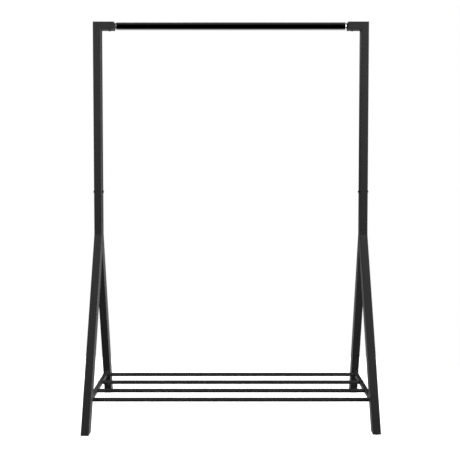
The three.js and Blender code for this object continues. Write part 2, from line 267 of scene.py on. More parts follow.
def black_chrome():
    """Polished black chrome with a haze of fingerprints and hair-fine rings left by hangers."""
    tree = Surface("black_chrome")
    haze = tree.noise(28.0, 4.0)
    rings = tree.noise(1.0, 2.0, place=tree.stretched(2400.0, 30.0, 30.0))
    scored = tree.spread(rings, 0.6, 0.78)
    base = tree.colours(haze, grey(0.50), grey(0.56))
    base = tree.colours(tree.maths("MULTIPLY", scored, 0.4), base, grey(0.62))
    roughness = tree.spread(haze, 0.35, 0.75, 0.04, 0.09)
    roughness = tree.maths("ADD", roughness, tree.maths("MULTIPLY", scored, 0.06))
    normal = tree.bump(rings, 0.006 * MM, 0.25)
    return tree.finish(base, roughness, normal, metallic=1.0)


def blackened_steel():
    """Black-oxide screws: satin, mottled, bright where the key and the corners have rubbed."""
    tree = Surface("blackened_steel")
    mottle = tree.noise(700.0, 4.0)
    base = tree.colours(mottle, grey(0.03), grey(0.06))
    rubbed = tree.worn(900.0, 0.48)
    base = tree.colours(rubbed, base, grey(0.22))
    roughness = tree.spread(mottle, 0.3, 0.7, 0.3, 0.46)
    normal = tree.bump(tree.noise(2400.0, 3.0), 0.03 * MM, 0.3)
    return tree.finish(base, roughness, normal, metallic=1.0)


def zinc_plate():
    """Bright zinc with a faint blue and yellow bloom and drawn lines."""
    tree = Surface("zinc_plate")
    bloom = tree.noise(120.0, 3.0)
    base = tree.colours(bloom, (0.46, 0.5, 0.56), (0.6, 0.58, 0.5))
    base = tree.colours(tree.worn(500.0, 0.45), base, grey(0.75))
    lines = tree.noise(1.0, 3.0, place=tree.stretched(600.0, 600.0, 4000.0))
    roughness = tree.spread(lines, 0.3, 0.7, 0.24, 0.42)
    normal = tree.bump(lines, 0.02 * MM, 0.3)
    return tree.finish(base, roughness, normal, metallic=1.0)


def black_plastic():
    """Moulded black nylon: spark-eroded grain, dull faces and scuffed edges."""
    tree = Surface("black_plastic")
    flow = tree.noise(160.0, 3.0)
    base = tree.colours(flow, grey(0.006), grey(0.0095))
    scuffed = tree.worn(450.0, 0.46)
    base = tree.colours(scuffed, base, grey(0.04))
    roughness = tree.spread(flow, 0.3, 0.7, 0.36, 0.5)
    roughness = tree.maths("ADD", roughness, tree.maths("MULTIPLY", scuffed, 0.15))
    normal = tree.bump(tree.cells(3000.0), 0.05 * MM, 0.35)
    return tree.finish(base, roughness, normal, IOR=1.5)


MATERIALS = {
    "powder_coat": powder_coat(),
    "black_chrome": black_chrome(),
    "blackened_steel": blackened_steel(),
    "zinc_plate": zinc_plate(),
    "black_plastic": black_plastic(),
}


# --- Meshes ---

def axes_at(start, direction):
    """Axes with their third along a direction, turned the way the frame's square tubes are."""
    w = direction.normalized()
    guide = Y_AXIS if abs(w.x) > 0.9 else X_AXIS
    v = w.cross(guide).normalized()
    u = v.cross(w)
    return Matrix.Translation(start) @ Matrix((u, v, w)).transposed().to_4x4()


def outline(side, corner):
    """A rounded square, anticlockwise, with a spare point on each flat beside each corner."""
    points = []
    inset = side / 2 - corner
    for turn in range(4):
        begin = turn * math.pi / 2
        centre = Vector((math.cos(begin) - math.sin(begin), math.sin(begin) + math.cos(begin)))
        centre *= inset
        for step in range(-1, CORNER_STEPS + 2):
            held = min(max(step, 0), CORNER_STEPS)
            angle = begin + held * math.pi / 2 / CORNER_STEPS
            tangent = Vector((-math.sin(angle), math.cos(angle)))
            points.append(centre + Vector((math.cos(angle), math.sin(angle))) * corner)
            points[-1] += tangent * FLAT_MARGIN * (step - held)
    return points


def filled(points):
    """An outline with more points along its flats, to face a round bore's."""
    dense = []
    for index, point in enumerate(points):
        following = points[(index + 1) % len(points)]
        steps = 1 if (index + 1) % (CORNER_STEPS + 3) else FLAT_STEPS
        dense += [point.lerp(following, step / steps) for step in range(steps)]
    return dense


def circle(radius, steps):
    turns = [2 * math.pi * i / steps for i in range(steps)]
    return [Vector((radius * math.cos(angle), radius * math.sin(angle))) for angle in turns]


def hexagon_reach(radius, direction):
    """How far a hexagon's side is from its middle, in one direction."""
    angle = math.atan2(direction.y, direction.x) % (math.pi / 3)
    return radius * math.cos(math.pi / 6) / math.cos(angle - math.pi / 6)


def hexagon(radius, steps, limit=math.inf):
    """Points round a hexagon, cut back to a circle where they pass its radius."""
    return [way * min(hexagon_reach(radius, way), limit) for way in circle(1.0, steps)]


def raised(axes, points, height):
    return [axes @ Vector((*point, height)) for point in points]


def stacked(axes, sections):
    """Rings from (points, height) pairs."""
    return [raised(axes, points, height) for points, height in sections]


def on_plane(axes, points, plane):
    """Slides an outline's points along the axes' direction until they lie on a plane."""
    place, normal = plane
    along = axes.col[2].to_3d()
    starts = raised(axes, points, 0.0)
    return [p + along * ((place - p).dot(normal) / along.dot(normal)) for p in starts]


def skin(bm, rings, closed=False):
    """Joins each ring of points to the next; a ring of one point is a pole."""
    made = [[bm.verts.new(point) for point in ring] for ring in rings]
    pairs = list(zip(made, made[1:]))
    if closed:
        pairs.append((made[-1], made[0]))
    for first, second in pairs:
        count = max(len(first), len(second))
        for i in range(count):
            j = (i + 1) % count
            corners = (first[i % len(first)], first[j % len(first)])
            corners += (second[j % len(second)], second[i % len(second)])
            bm.faces.new(dict.fromkeys(corners))


def shell(rings, closed=False):
    bm = bmesh.new()
    skin(bm, rings, closed)
    return bm


def mesh_of(name, bm):
    """Turns a working mesh into a named one, with its faces pointing out."""
    bmesh.ops.recalc_face_normals(bm, faces=bm.faces)
    mesh = bpy.data.meshes.new(name)
    bm.to_mesh(mesh)
    bm.free()
    return mesh


def placed(name, data):
    """A new object in the scene that holds a mesh, a light or a camera."""
    made = bpy.data.objects.new(name, data)
    bpy.context.collection.objects.link(made)
    return made


def cut(bm, place, normal):
    """Takes off what lies on the normal's side of a plane, and closes the cut."""
    everything = bm.verts[:] + bm.edges[:] + bm.faces[:]
    margin = place - normal * FLAT_MARGIN
    bmesh.ops.bisect_plane(bm, geom=everything, plane_co=margin, plane_no=normal)
    everything = bm.verts[:] + bm.edges[:] + bm.faces[:]
    result = bmesh.ops.bisect_plane(
        bm, geom=everything, plane_co=place, plane_no=normal, clear_outer=True
    )
    rim = [item for item in result["geom_cut"] if isinstance(item, bmesh.types.BMEdge)]
    bmesh.ops.triangle_fill(bm, use_beauty=True, edges=rim)


def drilled(mesh, holes):
    """The mesh with round holes, each given as (start, direction, length, radius)."""
    for start, direction, length, radius in holes:
        profile = [(0.0, 0.0), (radius, 0.0), (radius, length), (0.0, length)]
        bit = shell(profile_rings(axes_at(start, direction), profile, SMALL_STEPS))
        tool = placed("drill", mesh_of("drill", bit))
        work = placed("work", mesh)
        modifier = work.modifiers.new("hole", "BOOLEAN")
        modifier.object = tool
        modifier.operation = "DIFFERENCE"
        modifier.solver = "EXACT"
        graph = bpy.context.evaluated_depsgraph_get()
        result = bpy.data.meshes.new_from_object(work.evaluated_get(graph), depsgraph=graph)
        for used in (tool.data, work.data):
            bpy.data.meshes.remove(used)
        mesh = result
    bm = bmesh.new()
    bm.from_mesh(mesh)
    bmesh.ops.dissolve_degenerate(bm, dist=SLIVER, edges=bm.edges)
    bm.to_mesh(mesh)
    bm.free()
    return mesh


def mark_edges(mesh):
    """Stores how sharply each point's convex edges turn, for the materials' wear."""
    soft, sharp = math.radians(10), math.radians(17)
    bm = bmesh.new()
    bm.from_mesh(mesh)
    values = []
    for vert in bm.verts:
        turns = [e.calc_face_angle(0.0) for e in vert.link_edges if e.is_manifold and e.is_convex]
        share = (max(turns, default=0.0) - soft) / (sharp - soft)
        values.append(min(max(share, 0.0), 1.0))
    bm.free()
    mesh.attributes.new("edge", "FLOAT", "POINT").data.foreach_set("value", values)


def piece(name, bm, slot, node=None, body="root", holes=(), flats=False):
    """Turns a mesh into a named piece on its body, in place of the frame's node if one is given."""
    mesh = mesh_of(name, bm)
    mark_edges(mesh)
    mesh = drilled(mesh, holes)
    mesh.name = name
    mesh.shade_smooth()
    mesh.set_sharp_from_angle(angle=math.radians(32))
    made = placed(name, mesh)
    mesh.materials.clear()
    mesh.materials.append(MATERIALS[slot])
    if flats:
        weighted = made.modifiers.new("flat faces", "WEIGHTED_NORMAL")
        weighted.keep_sharp = True
    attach(made, body)
    if node:
        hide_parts(node)
    return made


# --- Shapes ---

def square_tube(axes, low, high, side, corner, wall):
    """A square tube between two planes, with eased outer edges at its ends."""
    along = axes.col[2].to_3d() * EASED
    margin = axes.col[2].to_3d() * (EASED + FLAT_MARGIN)
    outer = outline(side, corner)
    eased = outline(side - 2 * EASED, corner - EASED)
    bore = outline(side - 2 * wall, max(corner - wall, LEAST_CORNER))
    rings = [
        on_plane(axes, bore, low),
        on_plane(axes, eased, low),
        [point + along for point in on_plane(axes, outer, low)],
        [point + margin for point in on_plane(axes, outer, low)],
        [point - margin for point in on_plane(axes, outer, high)],
        [point - along for point in on_plane(axes, outer, high)],
        on_plane(axes, eased, high),
        on_plane(axes, bore, high),
    ]
    return shell(rings, closed=True)


def profile_rings(axes, profile, steps):
    """Rings about the axes' third direction, from (radius, height) pairs; no radius is a pole."""
    pole = [Vector((0, 0))]
    return stacked(axes, [(circle(r, steps) if r > 0 else pole, height) for r, height in profile])


def arc(centre, radius, begin, end, steps):
    """Points (radius, height) on an arc; angles are in degrees from outwards to upwards."""
    points = []
    for step in range(steps + 1):
        angle = math.radians(begin + (end - begin) * step / steps)
        points.append((centre[0] + radius * math.cos(angle), centre[1] + radius * math.sin(angle)))
    return points


def thread_rings(axes, low, high, radius, depth, pitch):
    """Rings of an outside thread between two heights; it runs out over its last turn."""
    rows = round((high - low) / pitch * ROWS_PER_TURN)
    rings = []
    for row in range(rows + 1):
        height = low + (high - low) * row / rows
        fade = min(1.0, (high - height) / pitch, (height - low) / pitch + 0.4)
        points = []
        for index, direction in enumerate(circle(1.0, SMALL_STEPS)):
            phase = (height / pitch - index / SMALL_STEPS) % 1.0
            ridge = min(1.0, THREAD_SLOPE * abs(2 * phase - 1))
            points.append(direction * (radius - depth * fade * (1 - ridge)))
        rings.append(raised(axes, points, height))
    return rings


def head_rings(axes, radius, height):
    """A domed head over height 0, with a hex socket that ends in a drill point."""
    rim = HEAD_RIM * height
    crown = HEAD_CROWN * radius
    profile = [(radius - rim, 0.0), *arc((radius - rim, rim), rim, -60, 0, 3)]
    for step in range(1, 8):
        turn = math.radians(90 * step / 7)
        across = crown + (radius - crown) * math.cos(turn)
        profile.append((across, rim + (height - rim) * math.sin(turn)))
    profile.append((HEX_RADIUS * 1.14, height))
    floor = height - HEX_DEPTH
    socket = hexagon(HEX_RADIUS, SMALL_STEPS)
    rings = profile_rings(axes, profile, SMALL_STEPS)
    rings.append(raised(axes, socket, height - HEX_CHAMFER))
    rings.append(raised(axes, socket, floor + HEX_CHAMFER))
    drill = [(HEX_RADIUS * 0.8, floor), (0.0, floor - DRILL_POINT)]
    return rings + profile_rings(axes, drill, SMALL_STEPS)


def screw(axes, radius, height, length):
    """A headed screw from its tip up; the head sits on height 0."""
    threaded = min(THREADED, length - PLAIN_SHANK)
    tip = [(0.0, -length), (SHANK_RADIUS - SCREW_TIP, -length)]
    neck = [(SHANK_RADIUS, -SCREW_FILLET), (SHANK_RADIUS + SCREW_FILLET, 0.0)]
    low, high = SCREW_TIP - length, threaded - length
    rings = profile_rings(axes, tip, SMALL_STEPS)
    rings += thread_rings(axes, low, high, SHANK_RADIUS, THREAD_DEPTH, SCREW_PITCH)
    rings += profile_rings(axes, neck, SMALL_STEPS)
    return rings + head_rings(axes, radius, height)


def sleeve_nut(axes, radius, height, length):
    """A headed sleeve, bored from its open end to a floor under the head."""
    profile = [
        (0.0, -SLEEVE_FLOOR),
        (SCREW_HOLE, -SLEEVE_FLOOR),
        (SCREW_HOLE, -length + 0.5 * MM),
        (SCREW_HOLE + 0.5 * MM, -length),
        (SLEEVE_RADIUS - 0.4 * MM, -length),
        (SLEEVE_RADIUS, -length + 0.4 * MM),
        (SLEEVE_RADIUS, 0.0),
    ]
    return profile_rings(axes, profile, SMALL_STEPS) + head_rings(axes, radius, height)


def bead(bm, path, width, rise, sink, closed=False, ripple=0.0):
    """A weld along a path of (place, outward) pairs; ripple makes its crest rise and fall."""
    rings = []
    travelled = 0.0
    count = len(path)
    for index, (place, outward) in enumerate(path):
        ahead = path[(index + 1) % count][0] if closed or index < count - 1 else place
        behind = path[index - 1][0] if closed or index else place
        travelled += (place - behind).length
        side = (ahead - behind).normalized().cross(outward).normalized()
        wave = 1.0 + ripple * math.sin(2 * math.pi * travelled / RIPPLE_PITCH)
        end = min(index, count - 1 - index)
        size = 1.0 if closed else min(1.0, WELD_START + WELD_GROWTH * end)
        ring = []
        for turn in circle(1.0, 12):
            lift = turn.y * (rise * wave if turn.y > 0 else sink)
            ring.append(place + (side * turn.x * width / 2 + outward * lift) * size)
        rings.append(ring)
    if not closed:
        rings = [[path[0][0]], *rings, [path[-1][0]]]
    skin(bm, rings, closed)


def evenly(first, last, spacing):
    """Points from first to last, a spacing apart or a little less."""
    count = max(2, math.ceil((last - first).length / spacing))
    return [first.lerp(last, step / count) for step in range(count + 1)]


def dense_loop(points, outwards, spacing):
    """A closed path of (place, outward) pairs, with points added along its longer sides."""
    path = []
    for index, point in enumerate(points):
        following = (index + 1) % len(points)
        stretch = evenly(point, points[following], spacing)[:-1]
        for step, place in enumerate(stretch):
            share = step / len(stretch)
            outward = outwards[index].lerp(outwards[following], share).normalized()
            path.append((place, outward))
    return path


def outward_of(axes, side, corner):
    """The outward direction at each of an outline's points."""
    pairs = zip(outline(side, corner), outline(side + 2 * MM, corner + MM))
    turn = axes.to_3x3()
    return [(turn @ Vector((*(wide - near), 0.0))).normalized() for near, wide in pairs]


# --- End frames ---

class EndFrame:
    """Sizes of one end frame, read from the boxes of its nodes."""

    def __init__(self, name):
        self.name = name
        self.side = WAYS[name]
        low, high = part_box(name + "_stem")
        self.tube = high.y - low.y
        self.x = (low.x + high.x) / 2
        self.axes = axes_at(Vector((self.x, 0, 0)), Z_AXIS)
        self.kink = low.z
        self.stem_top = high.z
        self.post_low, self.top = (corner.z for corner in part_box(name + "_upper_post"))
        self.gap = self.post_low - self.stem_top
        self.plug = self.tube - 2 * TUBE_WALL - 2 * PLAY

    def section(self, low, high, axes=None):
        """The frame's own square tube between two planes, upright unless axes are given."""
        axes = axes or self.axes
        return square_tube(axes, low, high, self.tube, TUBE_CORNER, TUBE_WALL)

    def outer(self):
        return self.x + self.side * self.tube / 2

    def mitre(self, way):
        """The plane between post and stub; way is 1 for the post's side and -1 for the stub's."""
        normal = Vector((-self.side, 0, 1)).normalized()
        corner = Vector((self.outer(), 0, self.top))
        return corner - normal * way * self.gap / 2, normal

    def leg_axes(self, place):
        """Axes down a leg's line, from the kink."""
        low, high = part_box(f"{place}_{self.name}_leg")
        way = WAYS[place]
        run = max(abs(low.y), abs(high.y)) - self.tube / 2
        flare = max(abs(low.x), abs(high.x)) - abs(self.outer())
        drop = high.z - low.z
        step = self.tube / 2 * (math.hypot(1.0, run / drop) - 1)
        start = Vector((self.x, -way * step, high.z))
        return axes_at(start, Vector((self.side * flare, way * run, -drop)))

    def leg_end(self, place):
        """The height where a leg's tube ends and its plug's lip begins."""
        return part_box(f"{place}_{self.name}_leg")[0].z - self.gap

    def leg_shift(self, height):
        """How far out the legs' flare has taken them at a height."""
        axis = self.leg_axes("front")
        start, along = axis.translation, axis.col[2]
        return along.x / along.z * (height - start.z)


def level_plane(height):
    return Vector((0, 0, height)), Z_AXIS


def middle_of(node):
    low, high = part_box(node)
    return (low + high) / 2


def bolt_holes(end_frame):
    """The joint bolt's holes: wide on the inside, where its sleeve nut enters."""
    height = middle_of(end_frame.name + "_joint_bolt").z
    middle = Vector((end_frame.x, 0, height))
    outwards = X_AXIS * end_frame.side
    return [
        (middle + outwards * MM, -outwards, end_frame.tube, SLEEVE_HOLE),
        (middle - outwards * MM, outwards, end_frame.tube, SCREW_HOLE),
    ]


def rod_screw_hole(name, bottom, depth, radius):
    """The hole for a rod screw, upwards from just under a height."""
    return Vector((middle_of(name + "_rod_screw").x, 0, bottom - MM)), Z_AXIS, depth, radius


def upper_post(end_frame):
    bm = end_frame.section(level_plane(end_frame.post_low), end_frame.mitre(1))
    name = end_frame.name + "_upper_post"
    piece(name + "_tube", bm, "powder_coat", name, holes=bolt_holes(end_frame), flats=True)


def rod_stub(end_frame):
    name = end_frame.name + "_rod_stub"
    low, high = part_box(name)
    open_end = low.x if end_frame.side > 0 else high.x
    inwards = -X_AXIS * end_frame.side
    height = high.z - end_frame.tube / 2
    axes = axes_at(Vector((end_frame.outer(), 0, height)), inwards)
    end = (Vector((open_end, 0, 0)), X_AXIS)
    bm = end_frame.section(end_frame.mitre(-1), end, axes)
    hole = rod_screw_hole(end_frame.name, low.z, end_frame.tube / 2, SCREW_HOLE)
    piece(name + "_tube", bm, "powder_coat", name, holes=[hole], flats=True)


def stem(end_frame):
    bm = end_frame.section(level_plane(end_frame.kink), level_plane(end_frame.stem_top))
    name = end_frame.name + "_stem"
    piece(name + "_tube", bm, "powder_coat", name, flats=True)


def spigot(end_frame):
    name = end_frame.name + "_joint_spigot"
    low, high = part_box(name)
    ends = level_plane(low.z), level_plane(high.z)
    section = high.y - low.y, TUBE_CORNER - TUBE_WALL, SPIGOT_WALL
    bm = square_tube(end_frame.axes, *ends, *section)
    piece(name + "_tube", bm, "zinc_plate", name, holes=bolt_holes(end_frame), flats=True)


def leg(end_frame, place):
    node = f"{place}_{end_frame.name}_leg"
    low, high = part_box(node)
    axes = end_frame.leg_axes(place)
    bm = end_frame.section(level_plane(high.z), level_plane(low.z), axes)
    way = WAYS[place]
    cut(bm, Vector((0, way * end_frame.gap / 2, 0)), Vector((0, -way, 0)))
    piece(node + "_tube", bm, "powder_coat", node, flats=True)


def leg_face(end_frame, place):
    """The plane of a leg's face that looks towards the other leg."""
    axes = end_frame.leg_axes(place)
    normal = axes.col[1].to_3d()
    way = WAYS[place]
    if normal.y * way > 0:
        normal = -normal
    return axes.translation + normal * (end_frame.tube / 2 + end_frame.gap), normal


def side_rail(end_frame):
    name = end_frame.name + "_side_rail"
    low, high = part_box(name)
    axes = axes_at(middle_of(name), Y_AXIS)
    faces = leg_face(end_frame, "front"), leg_face(end_frame, "rear")
    side = high.z - low.z
    bm = square_tube(axes, *faces, side, RAIL_CORNER, RAIL_WALL)
    holes = []
    for bar in BARS:
        start = Vector((low.x - MM, middle_of(bar + "_shelf_bar").y, middle_of(name).z))
        holes.append((start, X_AXIS, side + 2 * MM, SCREW_HOLE))
    piece(name + "_tube", bm, "powder_coat", name, holes=holes, flats=True)


def ground_seam(bm, end_frame, plane, limits):
    """A weld ground flush round the post where a plane cuts it, kept between two limits."""
    normal = plane[1]
    axes = end_frame.axes
    side = end_frame.tube
    inset = outline(side - 2 * SEAM_SUNK, TUBE_CORNER - SEAM_SUNK)
    points = on_plane(axes, inset, plane)
    outwards = [way - normal * way.dot(normal) for way in outward_of(axes, side, TUBE_CORNER)]
    path = dense_loop(points, outwards, SEAM_STEP)
    low, high = limits
    for place, outward in path:
        for axis in (0, 2):
            place[axis] = min(max(place[axis], low[axis]), high[axis])
    bead(bm, path, SEAM_WIDTH, SEAM_SUNK * 0.8, SEAM_DEPTH, closed=True)


def mitre_weld(end_frame):
    """The flush seam of post and stub, sunk at their outer corner so that it stays inside it."""
    reach = abs(end_frame.outer()) - CORNER_SUNK
    limits = Vector((-reach, 0, 0)), Vector((reach, 0, end_frame.top - CORNER_SUNK))
    bm = bmesh.new()
    ground_seam(bm, end_frame, end_frame.mitre(0), limits)
    piece(end_frame.name + "_mitre_weld", bm, "powder_coat")


def kink_weld(end_frame):
    """The flush seam under the stem, its two tails between the legs, and the bead in the crotch."""
    bm = bmesh.new()
    kink = end_frame.kink - end_frame.gap / 2
    ground_seam(bm, end_frame, level_plane(kink), (CAD_LOW, CAD_HIGH))
    place, normal = leg_face(end_frame, "front")
    crotch = Vector((end_frame.x, 0, place.z + normal.y * place.y / normal.z))
    crotch.x += end_frame.leg_shift(crotch.z)
    start = Vector((end_frame.x, 0, kink))
    reach = end_frame.tube / 2
    for way in (-1, 1):
        outward = X_AXIS * way
        sideways = outward * (reach - SEAM_SUNK)
        path = [(point, outward) for point in evenly(crotch + sideways, start + sideways, SEAM_STEP)]
        bead(bm, path, SEAM_WIDTH, SEAM_SUNK * 0.8, SEAM_DEPTH)
    across = X_AXIS * (reach - TUBE_CORNER)
    crest = evenly(crotch - across, crotch + across, RIPPLE_PITCH / 4)
    path = [(point, -Z_AXIS) for point in crest]
    bead(bm, path, 2 * CROTCH_FILLET, CROTCH_FILLET, CROTCH_FILLET, ripple=RIPPLE)
    piece(end_frame.name + "_kink_weld", bm, "powder_coat")


def rail_weld(end_frame, place):
    """The fillet round a side rail's end, where it meets a leg."""
    name = end_frame.name + "_side_rail"
    low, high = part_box(name)
    side = high.z - low.z
    axes = axes_at(middle_of(name), Y_AXIS)
    face, normal = leg_face(end_frame, place)
    points = on_plane(axes, outline(side, RAIL_CORNER), (face, normal))
    outwards = [(way + normal).normalized() for way in outward_of(axes, side, RAIL_CORNER)]
    path = dense_loop(points, outwards, RIPPLE_PITCH / 4)
    bm = bmesh.new()
    bead(bm, path, 2 * FILLET, FILLET * 0.8, FILLET * 0.6, closed=True, ripple=RIPPLE)
    piece(f"{place}_{end_frame.name}_rail_weld", bm, "powder_coat")


def joint_screws(end_frame):
    """The bolt from outside and the sleeve nut from inside, through post and spigot."""
    for kind, way in (("bolt", end_frame.side), ("nut", -end_frame.side)):
        node = f"{end_frame.name}_joint_{kind}"
        low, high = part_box(node)
        length = high.x - low.x
        radius = (high.z - low.z) / 2
        seat = end_frame.x + way * (end_frame.tube / 2 + end_frame.gap)
        tip = high.x if way > 0 else low.x
        head = abs(tip - seat)
        axes = axes_at(Vector((seat, 0, (low.z + high.z) / 2)), X_AXIS * way)
        build = screw if kind == "bolt" else sleeve_nut
        rings = build(axes, radius, head, length - head)
        piece(node + "_body", shell(rings), "blackened_steel", node)


# --- Leg ends ---

def plug_sections(end_frame, low, lip_top, body_top):
    """A moulded plug from its sole up, as (side, corner, height): recess, lip, ribs, hollow."""
    tube = end_frame.tube
    body = end_frame.plug
    waist = body - 2 * RIB_RISE
    corner = TUBE_CORNER - TUBE_WALL
    sections = [
        (tube - 2 * SOLE_BORDER - MM, 2 * MM, low + SOLE_RECESS),
        (tube - 2 * SOLE_BORDER, 2 * MM, low),
        (tube - 2 * LIP_EDGE, TUBE_CORNER - LIP_EDGE / 2, low),
        (tube - 0.5 * LIP_EDGE, TUBE_CORNER, low + LIP_EDGE / 3),
        (tube, TUBE_CORNER, low + LIP_EDGE),
        (tube, TUBE_CORNER, lip_top - EASED),
        (tube - 2 * EASED, TUBE_CORNER - EASED, lip_top),
        (waist, corner, lip_top),
    ]
    for rib in range(1, PLUG_RIBS + 1):
        middle = lip_top + rib * (body_top - lip_top) / (PLUG_RIBS + 1)
        sections.append((waist, corner, middle - 2 * RIB_RISE))
        sections.append((body, corner, middle - RIB_RISE / 2))
        sections.append((body - RIB_RISE / 3, corner, middle + 0.5 * MM))
        sections.append((waist, corner, middle + 1.5 * RIB_RISE))
    inside = body - 2 * PLUG_WALL
    sections.append((waist, corner, body_top - 1.5 * MM))
    sections.append((body - 2.6 * MM, corner, body_top))
    sections.append((inside - 1.4 * MM, LEAST_CORNER, body_top))
    sections.append((inside - 1.4 * MM, LEAST_CORNER, lip_top + PLUG_WALL))
    return sections


def end_plug(end_frame, place):
    node = f"{place}_{end_frame.name}_end_plug"
    low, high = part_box(node)
    lip_top = end_frame.leg_end(place)
    axes = end_frame.leg_axes(place)
    rings = []
    for side, corner, height in plug_sections(end_frame, low.z, lip_top, high.z):
        rings.append(on_plane(axes, outline(side, corner), level_plane(height)))
    poles = (low.z + SOLE_RECESS, lip_top + PLUG_WALL)
    sole, floor = ([on_plane(axes, [Vector((0, 0))], level_plane(height))[0]] for height in poles)
    bm = shell([sole, *rings, floor])
    piece(node + "_moulding", bm, "black_plastic", node, flats=True)


def level_plug(end_frame, place):
    """The plug over the levelling foot: solid round its nut, and bored for the stud."""
    node = f"{place}_{end_frame.name}_level_plug"
    low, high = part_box(node)
    lip_top = end_frame.leg_end(place)
    axes = end_frame.leg_axes(place)
    tube = end_frame.tube
    side = end_frame.plug
    corner = TUBE_CORNER - TUBE_WALL
    stud = middle_of("level_stud")
    nut_low, nut_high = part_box(f"{place}_{end_frame.name}_level_nut")
    pocket = (nut_high.x - nut_low.x) / 2 + PLAY

    def ring(width, rounding, height):
        return on_plane(axes, filled(outline(width, rounding)), level_plane(height))

    offsets = [point - stud for point in ring(side, corner, low.z)]
    ways = [Vector((offset.x, offset.y, 0)).normalized() for offset in offsets]

    def bored(height):
        base = Vector((stud.x, stud.y, height))
        return [base + way * (STUD_RADIUS + PLAY) for way in ways]

    def pocketed(height):
        base = Vector((stud.x, stud.y, height))
        return [base + way * hexagon_reach(pocket, way) for way in ways]

    rings = [
        bored(low.z),
        ring(tube - 2 * EASED, TUBE_CORNER - EASED, low.z),
        ring(tube, TUBE_CORNER, low.z + EASED),
        ring(tube, TUBE_CORNER, lip_top - EASED),
        ring(tube - 2 * EASED, TUBE_CORNER - EASED, lip_top),
        ring(side, corner, lip_top),
        ring(side, corner, high.z - MM),
        ring(side - 1.6 * MM, corner, high.z),
        bored(high.z),
        bored(nut_high.z + PLAY),
        pocketed(nut_high.z + PLAY),
        pocketed(nut_low.z - PLAY),
        bored(nut_low.z - PLAY),
    ]
    bm = shell(rings, closed=True)
    piece(node + "_moulding", bm, "black_plastic", node, flats=True)


def level_nut(node):
    low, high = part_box(node)
    radius = (high.x - low.x) / 2
    flat = radius * math.cos(math.pi / 6)
    stud = middle_of("level_stud")
    axes = Matrix.Translation(Vector((stud.x, stud.y, low.z)))
    height = high.z - low.z
    bore = STUD_RADIUS + PLAY
    inside = circle(bore, SMALL_STEPS)
    mouth = circle(bore + 2 * SMALL_EDGE, SMALL_STEPS)
    face = hexagon(radius, SMALL_STEPS, flat)
    sides = hexagon(radius, SMALL_STEPS)
    slope = (radius - flat) * 0.6
    sections = [(mouth, 0.0), (face, 0.0), (sides, slope), (sides, height - slope)]
    sections += [(face, height), (mouth, height)]
    sections += [(inside, height - 2 * SMALL_EDGE), (inside, 2 * SMALL_EDGE)]
    piece(node + "_body", shell(stacked(axes, sections), closed=True), "zinc_plate", node)


def level_stud():
    """A threaded stud with a round flange that sits in the pad's socket."""
    low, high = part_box("level_stud")
    centre = middle_of("level_stud")
    axes = Matrix.Translation(Vector((centre.x, centre.y, 0)))
    flange = (high.x - low.x) / 2
    flange_top = low.z + STUD_FLANGE
    edge = 0.25 * MM
    profile = [
        (0.0, low.z),
        (flange - edge, low.z),
        (flange, low.z + edge),
        (flange, flange_top - edge),
        (flange - edge, flange_top),
        (STUD_RADIUS - 0.1 * MM, flange_top),
        (STUD_RADIUS - STUD_THREAD, flange_top + MM),
    ]
    rings = profile_rings(axes, profile, SMALL_STEPS)
    ends = flange_top + 1.3 * MM, high.z - 0.8 * MM
    rings += thread_rings(axes, *ends, STUD_RADIUS, STUD_THREAD, STUD_PITCH)
    rings.append(raised(axes, circle(STUD_RADIUS - 0.8 * MM, SMALL_STEPS), high.z))
    socket = hexagon(STUD_RADIUS / 2, SMALL_STEPS)
    slot = high.z - 1.4 * MM
    rings += [raised(axes, socket, high.z), raised(axes, socket, slot)]
    rings.append([axes @ Vector((0, 0, slot))])
    piece("level_stud_body", shell(rings), "zinc_plate", "level_stud", body="level_stud")


def sole_profile(radius, height):
    """The pad's outside up to its waist: two raised rings on the sole, then the dome."""
    sole = 0.51 * radius
    groove = 0.35 * MM
    profile = [(0.0, 0.5 * MM), (0.2 * sole, 0.5 * MM), (0.3 * sole, 0.0), (0.6 * sole, 0.0)]
    profile += [(0.68 * sole, groove), (0.8 * sole, groove), (0.88 * sole, 0.0), (sole, 0.0)]
    for step in range(1, 9):
        turn = math.radians(90 * step / 8)
        across = sole + (radius - sole) * math.sin(turn)
        profile.append((across, 0.62 * height * (1 - math.cos(turn))))
    return profile


def level_pad():
    """The foot's domed sole: a non-slip ring underneath and a scalloped grip round its waist."""
    low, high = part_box("level_pad")
    centre = middle_of("level_pad")
    axes = Matrix.Translation(Vector((centre.x, centre.y, low.z)))
    radius = (high.x - low.x) / 2
    height = high.z - low.z
    stud_low, stud_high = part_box("level_stud")
    flange = (stud_high.x - stud_low.x) / 2 + PLAY
    floor = stud_low.z - low.z - PLAY
    roof = floor + STUD_FLANGE + 2 * PLAY
    neck = STUD_RADIUS + PLAY
    profile = sole_profile(radius, height)
    waist = len(profile)
    profile += [(radius, height - 0.5 * MM), (radius - 0.15 * MM, height - 0.15 * MM)]
    profile += [(radius - 0.5 * MM, height), (neck + 0.4 * MM, height), (neck, height - 0.4 * MM)]
    profile += [(neck, roof), (flange, roof), (flange, floor), (0.0, floor)]
    rings = profile_rings(axes, profile, ROUND_STEPS)
    for ring in rings[waist - 3 : waist + 1]:
        for index, point in enumerate(ring):
            lobe = 0.5 + 0.5 * math.cos(2 * math.pi * PAD_LOBES * index / ROUND_STEPS)
            spoke = Vector((point.x - centre.x, point.y - centre.y, 0))
            point -= spoke.normalized() * PAD_BITE * lobe**2
    piece("level_pad_moulding", shell(rings), "black_plastic", "level_pad", body="level_pad")


# --- Hanging rod ---

